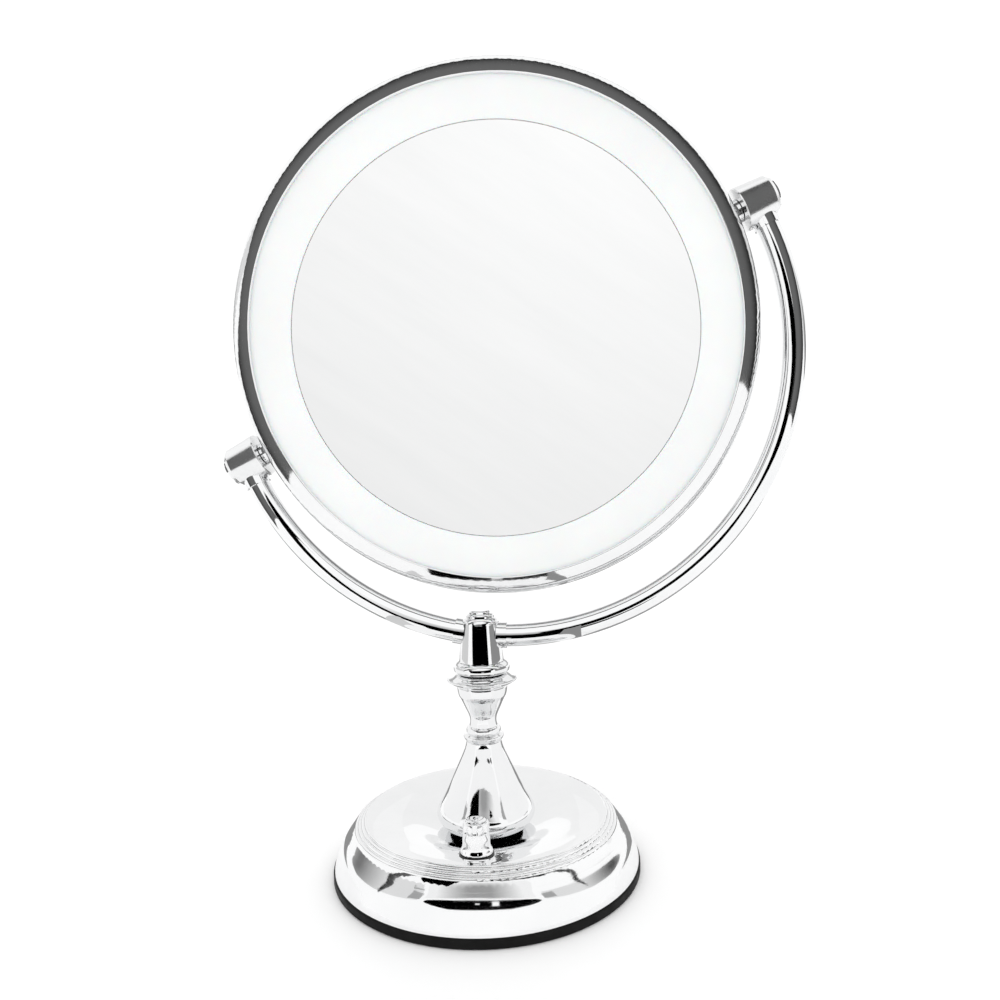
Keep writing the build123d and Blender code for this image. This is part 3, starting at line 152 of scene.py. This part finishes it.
class Shader:
    """A material's nodes. Texture coordinates are the row's own metres."""

    def __init__(self, name, color, metallic=0.0, roughness=0.4, **sockets):
        self.material = bpy.data.materials.new(name)
        self.material.use_nodes = True
        self.tree = self.material.node_tree
        self.surface = self.tree.nodes["Principled BSDF"]
        self.surface.inputs["Base Color"].default_value = (*color, 1)
        self.surface.inputs["Metallic"].default_value = metallic
        self.surface.inputs["Roughness"].default_value = roughness
        for socket, value in sockets.items():
            self.surface.inputs[socket.replace("_", " ")].default_value = value
        self.place = self.tree.nodes.new("ShaderNodeTexCoord").outputs["Object"]

    def node(self, kind, **settings):
        made = self.tree.nodes.new("ShaderNode" + kind)
        for name, value in settings.items():
            setattr(made, name, value)
        return made

    def link(self, source, target):
        self.tree.links.new(source, target)

    def math(self, operation, a, b=None):
        made = self.node("Math", operation=operation)
        for socket, value in zip(made.inputs, (a, b)):
            if value is None:
                continue
            if isinstance(value, (int, float)):
                socket.default_value = value
            else:
                self.link(value, socket)
        return made.outputs[0]

    def mapped(self, scale=(1, 1, 1), turn=(0, 0, 0), shift=(0, 0, 0)):
        """The coordinates after a shift, then a turn, then a stretch."""
        moved = self.node("VectorMath", operation="SUBTRACT")
        self.link(self.place, moved.inputs[0])
        moved.inputs[1].default_value = shift
        turned = self.node("Mapping")
        self.link(moved.outputs[0], turned.inputs["Vector"])
        turned.inputs["Rotation"].default_value = turn
        stretched = self.node("VectorMath", operation="MULTIPLY")
        self.link(turned.outputs["Vector"], stretched.inputs[0])
        stretched.inputs[1].default_value = scale
        return stretched.outputs[0]

    def noise(self, scale, detail=2.0, rough=0.5, vector=None):
        made = self.node("TexNoise")
        self.link(vector or self.place, made.inputs["Vector"])
        made.inputs["Scale"].default_value = scale
        made.inputs["Detail"].default_value = detail
        made.inputs["Roughness"].default_value = rough
        return made.outputs["Fac"]

    def voronoi(self, scale, feature="F1", output="Distance", vector=None):
        made = self.node("TexVoronoi", feature=feature)
        self.link(vector or self.place, made.inputs["Vector"])
        made.inputs["Scale"].default_value = scale
        return made.outputs[output]

    def rings(self, axis_point, axis, per_metre):
        """A noise of one value that runs outwards from an axis, as a lathe tool leaves it."""
        moved = self.node("VectorMath", operation="SUBTRACT")
        self.link(self.place, moved.inputs[0])
        moved.inputs[1].default_value = axis_point
        across = self.node("VectorMath", operation="CROSS_PRODUCT")
        self.link(moved.outputs[0], across.inputs[0])
        across.inputs[1].default_value = axis
        reach = self.node("VectorMath", operation="LENGTH")
        self.link(across.outputs[0], reach.inputs[0])
        made = self.node("TexNoise", noise_dimensions="1D")
        self.link(reach.outputs["Value"], made.inputs["W"])
        made.inputs["Scale"].default_value = per_metre
        made.inputs["Detail"].default_value = 3.0
        return made.outputs["Fac"]

    def spread(self, value, low, high, start=0.3, stop=0.7):
        """A value from start to stop spread over low to high."""
        made = self.node("MapRange")
        self.link(value, made.inputs["Value"])
        made.inputs["From Min"].default_value = start
        made.inputs["From Max"].default_value = stop
        made.inputs["To Min"].default_value = low
        made.inputs["To Max"].default_value = high
        return made.outputs["Result"]

    def colors(self, value, *stops):
        """A colour ramp from (position, (r, g, b)) stops."""
        made = self.node("ValToRGB")
        self.link(value, made.inputs["Fac"])
        ramp = made.color_ramp
        while len(ramp.elements) < len(stops):
            ramp.elements.new(0.5)
        for element, (position, color) in zip(ramp.elements, stops):
            element.position = position
            element.color = (*color, 1)
        return made.outputs["Color"]

    def set_color(self, color):
        self.link(color, self.surface.inputs["Base Color"])

    def set_roughness(self, value):
        self.link(value, self.surface.inputs["Roughness"])

    def bump(self, height, strength, distance):
        made = self.node("Bump")
        made.inputs["Strength"].default_value = strength
        made.inputs["Distance"].default_value = distance
        self.link(height, made.inputs["Height"])
        previous = self.surface.inputs["Normal"].links
        if previous:
            self.link(previous[0].from_socket, made.inputs["Normal"])
        self.link(made.outputs["Normal"], self.surface.inputs["Normal"])


def shade(value):
    return (value, value, value)


# ---- materials --------------------------------------------------------------------------------

def chrome():
    """Bright plate: a faint haze in patches, wiping marks, and the polished metal's own ripple."""
    look = Shader("polished_chrome", (0.93, 0.935, 0.94), metallic=1.0, roughness=0.03)
    haze = look.noise(38.0, detail=4.0, rough=0.6)
    wipes = look.noise(160.0, detail=3.0, vector=look.mapped(scale=(0.25, 0.25, 2.2), turn=(0.5, 0.2, 0)))
    look.set_roughness(look.spread(look.math("ADD", haze, wipes), 0.015, 0.075, 0.7, 1.3))
    look.set_color(look.colors(haze, (0.25, (0.86, 0.865, 0.872)), (0.75, (0.915, 0.917, 0.92))))
    look.bump(look.noise(55.0, detail=1.0), 0.10, 0.00010)
    look.bump(look.noise(2200.0, detail=2.0), 0.05, 0.00003)
    return look.material


def bezel_chrome():
    """Plate over spun steel: fine rings round the head's axis under the shine."""
    look = Shader("bezel_chrome", (0.92, 0.925, 0.93), metallic=1.0, roughness=0.05)
    haze = look.noise(30.0, detail=4.0, rough=0.6)
    rings = look.rings(HEAD, FRONT, 2600.0)
    look.set_roughness(look.spread(look.math("ADD", haze, rings), 0.03, 0.11, 0.7, 1.3))
    look.set_color(look.colors(haze, (0.25, (0.86, 0.865, 0.87)), (0.75, (0.915, 0.917, 0.92))))
    look.bump(rings, 0.06, 0.00003)
    return look.material


def base_chrome():
    """The base's spun shell: rings round the stem's axis, wiping marks and haze."""
    look = Shader("base_chrome", (0.93, 0.935, 0.94), metallic=1.0, roughness=0.04)
    haze = look.noise(26.0, detail=5.0, rough=0.62)
    rings = look.rings((0, 0, 0), (0, 0, 1), 1900.0)
    look.set_roughness(look.spread(look.math("ADD", haze, rings), 0.02, 0.10, 0.7, 1.3))
    look.set_color(look.colors(haze, (0.25, (0.86, 0.865, 0.87)), (0.75, (0.915, 0.917, 0.92))))
    look.bump(rings, 0.05, 0.00003)
    look.bump(look.noise(40.0, detail=1.0), 0.08, 0.00012)
    return look.material


def hub_chrome():
    """The pivot hubs' satin plate, with fine turning marks round the pivot axis."""
    look = Shader("hub_chrome", (0.86, 0.865, 0.87), metallic=1.0, roughness=0.2)
    haze = look.noise(60.0, detail=4.0, rough=0.6)
    rings = look.rings(HEAD, ALONG, 3000.0)
    look.set_roughness(look.spread(haze, 0.14, 0.24))
    look.set_color(look.colors(haze, (0.25, (0.83, 0.835, 0.84)), (0.75, (0.89, 0.892, 0.895))))
    look.bump(rings, 0.06, 0.00003)
    return look.material


def mirror_glass():
    """Silvered glass: faint slanting wipe marks and a few specks of dust."""
    look = Shader("mirror_glass", (0.95, 0.955, 0.955), metallic=1.0, roughness=0.02)
    slant = look.mapped(scale=(0.9, 9.0, 9.0), turn=(0, radians(-35), 0), shift=HEAD)
    wipes = look.noise(7.0, detail=5.0, rough=0.6, vector=slant)
    dust = look.voronoi(420.0)
    look.set_color(look.colors(wipes, (0.3, (0.925, 0.93, 0.93)), (0.7, (0.965, 0.967, 0.967))))
    polish = look.spread(wipes, 0.004, 0.02)
    specks = look.spread(dust, 0.05, 0.0, 0.0, 0.08)
    look.set_roughness(look.math("ADD", polish, specks))
    return look.material


def opal_acrylic():
    """Opal acrylic, satin: soft clouding inside, a fine eggshell face."""
    look = Shader(
        "opal_light_ring", (0.90, 0.90, 0.895), roughness=0.38,
        Subsurface_Weight=0.25, Subsurface_Scale=0.004, Specular_IOR_Level=0.35,
        Emission_Color=(1.0, 0.995, 0.98, 1), Emission_Strength=0.03,
    )
    clouds = look.noise(22.0, detail=3.0)
    look.set_color(look.colors(clouds, (0.3, (0.875, 0.876, 0.872)), (0.7, (0.915, 0.915, 0.91))))
    look.set_roughness(look.spread(look.noise(300.0, detail=3.0), 0.32, 0.46))
    look.bump(look.noise(3500.0, detail=2.0), 0.15, 0.00004)
    return look.material


def moulded(name, dark, light, roughness=(0.35, 0.6), grain=1800.0, depth=0.00005, **sockets):
    """Moulded plastic or rubber: mottled colour, a fine spark-eroded grain, uneven sheen."""
    look = Shader(name, light, roughness=roughness[1], **sockets)
    mottle = look.noise(90.0, detail=4.0, rough=0.6)
    look.set_color(look.colors(mottle, (0.3, dark), (0.7, light)))
    look.set_roughness(look.spread(look.noise(240.0, detail=3.0), *roughness))
    look.bump(look.noise(grain, detail=3.0, rough=0.65), 0.35, depth)
    return look.material


def foam(name, dark, light):
    """Closed-cell foam: small pits over the whole surface, with painted shade darkening each pit's centre."""
    look = Shader(name, light, roughness=0.85)
    pits_and_shade = look.voronoi(900.0)
    # painted shade: the colour darkens towards the centre of each pit
    look.set_color(look.colors(pits_and_shade, (0.05, dark), (0.5, light)))
    look.set_roughness(look.spread(look.noise(150.0), 0.75, 0.95))
    look.bump(pits_and_shade, 0.6, 0.00025)
    return look.material


def zinc_steel():
    """Zinc plate: crystalline patches, turning marks, a slight blue cast."""
    look = Shader("zinc_steel", (0.62, 0.64, 0.67), metallic=1.0, roughness=0.32)
    patches = look.voronoi(260.0, output="Color")
    look.set_color(look.colors(patches, (0.2, (0.55, 0.575, 0.61)), (0.8, (0.68, 0.69, 0.70))))
    look.set_roughness(look.spread(look.noise(700.0, detail=4.0), 0.22, 0.45))
    look.bump(look.noise(1500.0, vector=look.mapped(scale=(1, 1, 6)), detail=2.0), 0.25, 0.00004)
    return look.material


def painted_plate():
    """Black stoved paint on steel sheet: orange peel and a few rubbed places."""
    look = Shader("black_plate", (0.03, 0.03, 0.03), roughness=0.45, Coat_Weight=0.15)
    rubbed = look.noise(34.0, detail=6.0, rough=0.7)
    look.set_color(look.colors(rubbed, (0.3, (0.022, 0.022, 0.023)), (0.72, (0.05, 0.05, 0.052))))
    look.set_roughness(look.spread(rubbed, 0.35, 0.6))
    look.bump(look.noise(620.0, detail=2.0), 0.3, 0.00012)
    return look.material


def cast_iron():
    """Sand-cast iron: coarse grain, rust in the hollows."""
    look = Shader("cast_ballast", (0.12, 0.115, 0.11), metallic=0.7, roughness=0.7)
    grain = look.noise(420.0, detail=6.0, rough=0.7)
    look.set_color(look.colors(grain, (0.3, (0.10, 0.065, 0.045)), (0.6, (0.15, 0.15, 0.15))))
    look.set_roughness(look.spread(grain, 0.85, 0.6))
    look.bump(grain, 0.7, 0.0004)
    return look.material


def circuit_board():
    """White solder mask with tinned pads and tracks showing through."""
    look = Shader("circuit_board", (0.86, 0.87, 0.84), roughness=0.4, Coat_Weight=0.2)
    tracks = look.voronoi(170.0, feature="DISTANCE_TO_EDGE", output="Distance")
    look.set_color(look.colors(
        tracks, (0.02, (0.66, 0.70, 0.62)), (0.05, (0.86, 0.875, 0.845)), (0.9, (0.885, 0.89, 0.87)),
    ))
    look.set_roughness(look.spread(look.noise(500.0), 0.3, 0.5))
    look.bump(look.spread(tracks, 1.0, 0.0, 0.02, 0.06), 0.4, 0.00004)
    return look.material


def led_chips():
    """Yellow phosphor under clear resin."""
    look = Shader("led_chips", (0.95, 0.82, 0.40), roughness=0.2, Coat_Weight=0.6)
    grains = look.noise(5200.0, detail=3.0)
    look.set_color(look.colors(grains, (0.3, (0.90, 0.72, 0.25)), (0.7, (0.98, 0.90, 0.60))))
    look.bump(grains, 0.2, 0.00003)
    return look.material


def lead_jacket():
    """Flexible lead: black jacket with the slight waviness of the strands inside."""
    look = Shader("lead_jacket", (0.05, 0.05, 0.05), roughness=0.5)
    strands = look.noise(700.0, detail=2.0)
    look.set_color(look.colors(strands, (0.3, (0.035, 0.035, 0.036)), (0.7, (0.07, 0.07, 0.072))))
    look.set_roughness(look.spread(look.noise(300.0), 0.4, 0.6))
    look.bump(strands, 0.3, 0.00006)
    return look.material


materials = {
    "bezel_chrome": bezel_chrome(),
    "polished_chrome": chrome(),
    "base_chrome": base_chrome(),
    "hub_chrome": hub_chrome(),
    "mirror_glass": mirror_glass(),
    "opal_light_ring": opal_acrylic(),
    "foam_tape": foam("foam_tape", (0.09, 0.09, 0.10), (0.17, 0.17, 0.18)),
    "white_core": moulded("white_core", shade(0.80), shade(0.88)),
    "circuit_board": circuit_board(),
    "led_chips": led_chips(),
    "zinc_steel": zinc_steel(),
    "white_connector": moulded("white_connector", (0.74, 0.72, 0.66), (0.84, 0.83, 0.78)),
    "nylon": moulded("nylon", (0.76, 0.76, 0.72), (0.86, 0.86, 0.83), roughness=(0.3, 0.5)),
    "lead_jacket": lead_jacket(),
    "black_foot": moulded(
        "black_foot", shade(0.004), shade(0.010), roughness=(0.4, 0.6), Specular_IOR_Level=0.08,
    ),
    "black_plate": painted_plate(),
    "foam_pad": foam("foam_pad", shade(0.012), shade(0.035)),
    "cast_ballast": cast_iron(),
    "black_switch": moulded("black_switch", shade(0.015), shade(0.032), roughness=(0.3, 0.5)),
    "black_washer": moulded("black_washer", shade(0.008), shade(0.02), roughness=(0.25, 0.4)),
}

# Pieces whose finish differs from that of the others of their slot.
own_finish = {"base_shell": "base_chrome", "left_hub": "hub_chrome", "right_hub": "hub_chrome"}

for part in frame["record"]["subparts"]:
    piece = nodes[part["node"]]
    finish = own_finish.get(part["node"], part["material_slot"])
    piece.data.materials.clear()
    piece.data.materials.append(materials[finish])

# ---- soft pieces ------------------------------------------------------------------------------

def make_base_pad():
    """The foam sheet under the base, with its cut edge pressed round."""
    low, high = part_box("base_pad")
    reach = (high.x - low.x) / 2
    edge = 0.0009                 # radius of the round edge
    edge_steps = 8
    outline = [(0, low.z), (reach - edge * 2.4, low.z)]
    for k in range(edge_steps + 1):
        turn = radians(90 * k / edge_steps)
        outline.append((reach - edge * (1 - sin(turn)), low.z + edge * (1 - cos(turn))))
    outline += [(reach, high.z - edge * 0.4), (reach - edge * 0.3, high.z), (0, high.z)]
    pad = lathe("base_pad_foam", outline)
    pad.data.materials.append(materials["foam_pad"])
    shade_smooth(pad, 50)
    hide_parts("base_pad")
    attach(pad, "stand")


make_base_pad()

# ---- studio -----------------------------------------------------------------------------------

world_level = 1.08
floor_half = 6.0
floor_gap = 0.0001            # the floor lies this far under the foot ring
card_step = 3.0               # degrees between the rows of a curved card
front_y = -0.10               # plane of the cards before the head and the yoke
base_y = -0.15                # plane of the cards before the base
stem_y = -0.055               # plane of the cards close before the stem
nearer = 0.001                # a highlight stands this much nearer to the chrome than its dark card
collar_wall_r = 0.05          # walls beside the collar
foot_wall_r = 0.056           # walls beside the stem's foot
floor_card_z = 0.0004
sky_reach = 3.0               # distance of the far cards from a point low on the stem
sky_centre_z = 0.1
mirror_card_gap = 0.0165      # card before the glass, from the head's centre
mirror_card_r = 0.113
mirror_card_steps = 96
black = 0.0


def make_floor():
    look = Shader(
        "floor", (0.95, 0.95, 0.95), roughness=0.6, Specular_IOR_Level=0.2,
        Emission_Color=(1, 1, 1, 1), Emission_Strength=0.06,
    )
    look.set_color(look.colors(look.noise(3.0, detail=4.0), (0.3, shade(0.94)), (0.7, shade(0.96))))
    bm = bmesh.new()
    bmesh.ops.create_grid(bm, x_segments=8, y_segments=8, size=floor_half)
    floor = new_piece("floor", bm, look.material)
    floor.location.z = min(cad_low.z, 0) - floor_gap


def glow(name, level, fade=None):
    """Light of one brightness, or one that fades from it to another.

    A fade is (point, near, far, far_level): the brightness is the first one up to near from the
    point, and far_level from far on.
    """
    material = bpy.data.materials.new(name)
    material.use_nodes = True
    tree = material.node_tree
    tree.nodes.clear()
    light = tree.nodes.new("ShaderNodeEmission")
    output = tree.nodes.new("ShaderNodeOutputMaterial")
    tree.links.new(light.outputs[0], output.inputs["Surface"])
    if fade is None:
        light.inputs["Strength"].default_value = level
        return material
    point, near, far, far_level = fade
    place = tree.nodes.new("ShaderNodeTexCoord").outputs["Object"]
    distance = tree.nodes.new("ShaderNodeVectorMath")
    distance.operation = "DISTANCE"
    tree.links.new(place, distance.inputs[0])
    distance.inputs[1].default_value = point
    spread = tree.nodes.new("ShaderNodeMapRange")
    tree.links.new(distance.outputs["Value"], spread.inputs["Value"])
    sockets = ("From Min", "From Max", "To Min", "To Max")
    for socket, value in zip(sockets, (near, far, level, far_level)):
        spread.inputs[socket].default_value = value
    tree.links.new(spread.outputs["Result"], light.inputs["Strength"])
    return material


def only_reflected(card):
    """A card shows in the chrome and nowhere else."""
    card.visible_camera = False
    card.visible_diffuse = False
    card.visible_shadow = False
    card.visible_transmission = False
    card.visible_volume_scatter = False


def strip(name, rows, level, fade=None):
    """A card from rows of two or more corners, each row joined to the next."""
    bm = bmesh.new()
    made = [[bm.verts.new(corner) for corner in row] for row in rows]
    for one, two in zip(made, made[1:]):
        for k in range(len(one) - 1):
            bm.faces.new([one[k], one[k + 1], two[k + 1], two[k]])
    only_reflected(new_piece(name, bm, glow(name, level, fade)))


def filled(stops):
    """Stops of (angle, value, value) with more of them set between, evenly."""
    rows = []
    for one, two in zip(stops, stops[1:]):
        count = max(1, round(abs(two[0] - one[0]) / card_step))
        rows += [[a + (b - a) * k / count for a, b in zip(one, two)] for k in range(count)]
    return rows + [list(stops[-1])]


def upright_card(name, y, left, right, low, high, level, fade=None):
    """An oblong in a plane square to Y."""
    strip(name, [[(x, y, low), (x, y, high)] for x in (left, right)], level, fade)


def ring_card(name, centre, y, stops, level, fade=None):
    """A band in a plane square to Y, from stops of (degrees from +X towards +Z, radius, radius)."""
    rows = []
    for angle, *radii in filled(stops):
        across, up = cos(radians(angle)), sin(radians(angle))
        rows.append([(centre.x + radius * across, y, centre.z + radius * up) for radius in radii])
    strip(name, rows, level, fade)


def wall_card(name, radius, stops, level):
    """A band standing round the stem, from stops of (degrees from -Y towards +X, height, height)."""
    rows = []
    for angle, *heights in filled(stops):
        x, y = radius * sin(radians(angle)), -radius * cos(radians(angle))
        rows.append([(x, y, height) for height in heights])
    strip(name, rows, level)


def sky_card(name, stops, level, reach=sky_reach, fade=None):
    """A far patch, from stops of (degrees from -Y towards +X, elevation, elevation)."""
    rows = []
    for angle, *elevations in filled(stops):
        row = []
        for elevation in elevations:
            out = reach * cos(radians(elevation))
            height = sky_centre_z + reach * sin(radians(elevation))
            row.append((out * sin(radians(angle)), -out * cos(radians(angle)), height))
        rows.append(row)
    strip(name, rows, level, fade)


def floor_card(name, stops, level):
    """A patch lying on the floor, from stops of (degrees from -Y towards +X, radius, radius)."""
    rows = []
    for angle, *radii in filled(stops):
        rows.append([(r * sin(radians(angle)), -r * cos(radians(angle)), floor_card_z) for r in radii])
    strip(name, rows, level)


def make_world():
    world = bpy.data.worlds.new("studio")
    bpy.context.scene.world = world
    world.use_nodes = True
    background = world.node_tree.nodes["Background"]
    background.inputs["Color"].default_value = (1, 1, 1, 1)
    background.inputs["Strength"].default_value = world_level


def make_mirror_card():
    """A white card just in front of the glass, a little darker towards the lower left."""
    centre = HEAD + FRONT * mirror_card_gap
    bright = HEAD + (ALONG + HEAD_UP) * 0.10
    rows = []
    for k in range(mirror_card_steps + 1):
        turn = tau * k / mirror_card_steps
        rows.append([centre, centre + (ALONG * cos(turn) + HEAD_UP * sin(turn)) * mirror_card_r])
    strip("mirror_card", rows, 1.05, fade=(bright, 0.02, 0.25, 0.89))


def make_head_cards():
    """A dark band before the lip, narrow at the left, and grey ones behind the rim."""
    ring_card("lip_flag", HEAD, front_y, [
        (-12, 0.140, 0.50), (60, 0.130, 0.44), (150, 0.130, 0.38), (158, 0.130, 0.28),
        (172, 0.130, 0.27), (181, 0.130, 0.40), (203, 0.140, 0.40), (211, 0.140, 0.36),
    ], 0.14, fade=(HEAD + Vector((0, front_y, 0)), 0.20, 0.36, 0.03))
    ring_card("rim_flag", HEAD, 0.05, [(-180, 0.147, 0.158), (180, 0.147, 0.158)], 0.45)
    ring_card("rim_flag_top", HEAD, 0.03, [(60, 0.150, 0.185), (125, 0.150, 0.185)], 0.30)


def make_yoke_cards():
    """A black band before each half of the yoke."""
    yoke_centre = HEAD - UP * 0.008
    ring_card("yoke_flag_left", yoke_centre, front_y, [
        (-165, 0.045, 0.085), (-158, 0.065, 0.125), (-150, 0.095, 0.145), (-140, 0.120, 0.163),
        (-130, 0.140, 0.178), (-118, 0.152, 0.190), (-104, 0.155, 0.193),
    ], black)
    ring_card("yoke_flag_right", yoke_centre, front_y, [
        (-86, 0.110, 0.158), (-78, 0.102, 0.150), (-60, 0.100, 0.146), (-40, 0.100, 0.150),
        (-28, 0.108, 0.140), (-16, 0.100, 0.165), (0, 0.085, 0.150), (12, 0.070, 0.135),
        (24, 0.055, 0.118), (36, 0.045, 0.09),
    ], black)


def make_base_cards():
    """The dark lens, its two highlights and a grey field above."""
    lens = (
        (-0.105, 0.086, 0.090), (-0.098, 0.079, 0.096), (-0.080, 0.070, 0.098), (-0.045, 0.058, 0.098),
        (0.050, 0.058, 0.098), (0.085, 0.068, 0.098), (0.108, 0.078, 0.097), (0.118, 0.086, 0.091),
    )
    strip("lens_flag", [[(x, base_y, low), (x, base_y, high)] for x, low, high in lens], black)
    upright_card("lens_light", base_y + nearer, 0.020, 0.031, 0.072, 0.092, 1.05)
    upright_card("lens_light_small", base_y + nearer, -0.006, 0.001, 0.078, 0.084, 0.8)
    grey_fade = ((0, base_y, 0.112), 0.02, 0.085, 0.98)
    upright_card("grey_field", base_y, -0.11, 0.11, 0.106, 0.19, 0.36, grey_fade)


def make_stem_cards():
    """Black before the neck and the collar, white before the foot, and walls at both sides."""
    upright_card("stem_flag", stem_y, -0.042, 0.046, 0.083, 0.119, black)
    upright_card("foot_light", stem_y, -0.050, 0.050, 0.064, 0.080, 1.0)
    upright_card("stem_light", stem_y + nearer, 0.004, 0.012, 0.086, 0.091, 1.05)
    for name, radius, start, stop, low, high, level in (
        ("foot_side_right", foot_wall_r, 46, 132, 0.034, 0.094, 1.0),
        ("foot_side_left", foot_wall_r, -132, -46, 0.034, 0.094, 1.0),
        ("stem_side_right", collar_wall_r, 54, 112, 0.096, 0.118, 0.28),
        ("stem_side_left", collar_wall_r, -112, -62, 0.096, 0.118, 0.68),
    ):
        wall_card(name, radius, [(start, low, high), (stop, low, high)], level)
    floor_card("floor_flag", [(112, 0.10, 0.60), (248, 0.10, 0.60)], 0.30)


def make_sky_cards():
    """Far lobes at both sides, darker at their outer ends, and a light grey field behind."""
    lobe = [(50, 28, 40), (66, 20, 35), (85, 12, 28), (105, 6, 20), (118, 5, 13), (124, 6, 8)]
    shoulder = [(49, 30, 38), (58, 26, 36)]
    for side, name, dark in ((-1, "left_lobe", 0.20), (1, "right_lobe", 0.10)):
        mirrored = [(side * angle, low, high) for angle, low, high in lobe]
        outer_end = Vector((side * 2.72, 1.1, 0.75))
        sky_card(name, mirrored, dark, fade=(outer_end, 0.15, 1.7, 0.80))
        mirrored = [(side * angle, low, high) for angle, low, high in shoulder]
        sky_card(name + "_shoulder", mirrored, 0.40, reach=2.9)
    sky_card("back_field", [(125, 14, 80), (235, 14, 80)], 0.97, reach=3.1)


make_world()
make_floor()
make_mirror_card()
make_head_cards()
make_yoke_cards()
make_base_cards()
make_stem_cards()
make_sky_cards()
bpy.context.scene.view_settings.view_transform = "Standard"
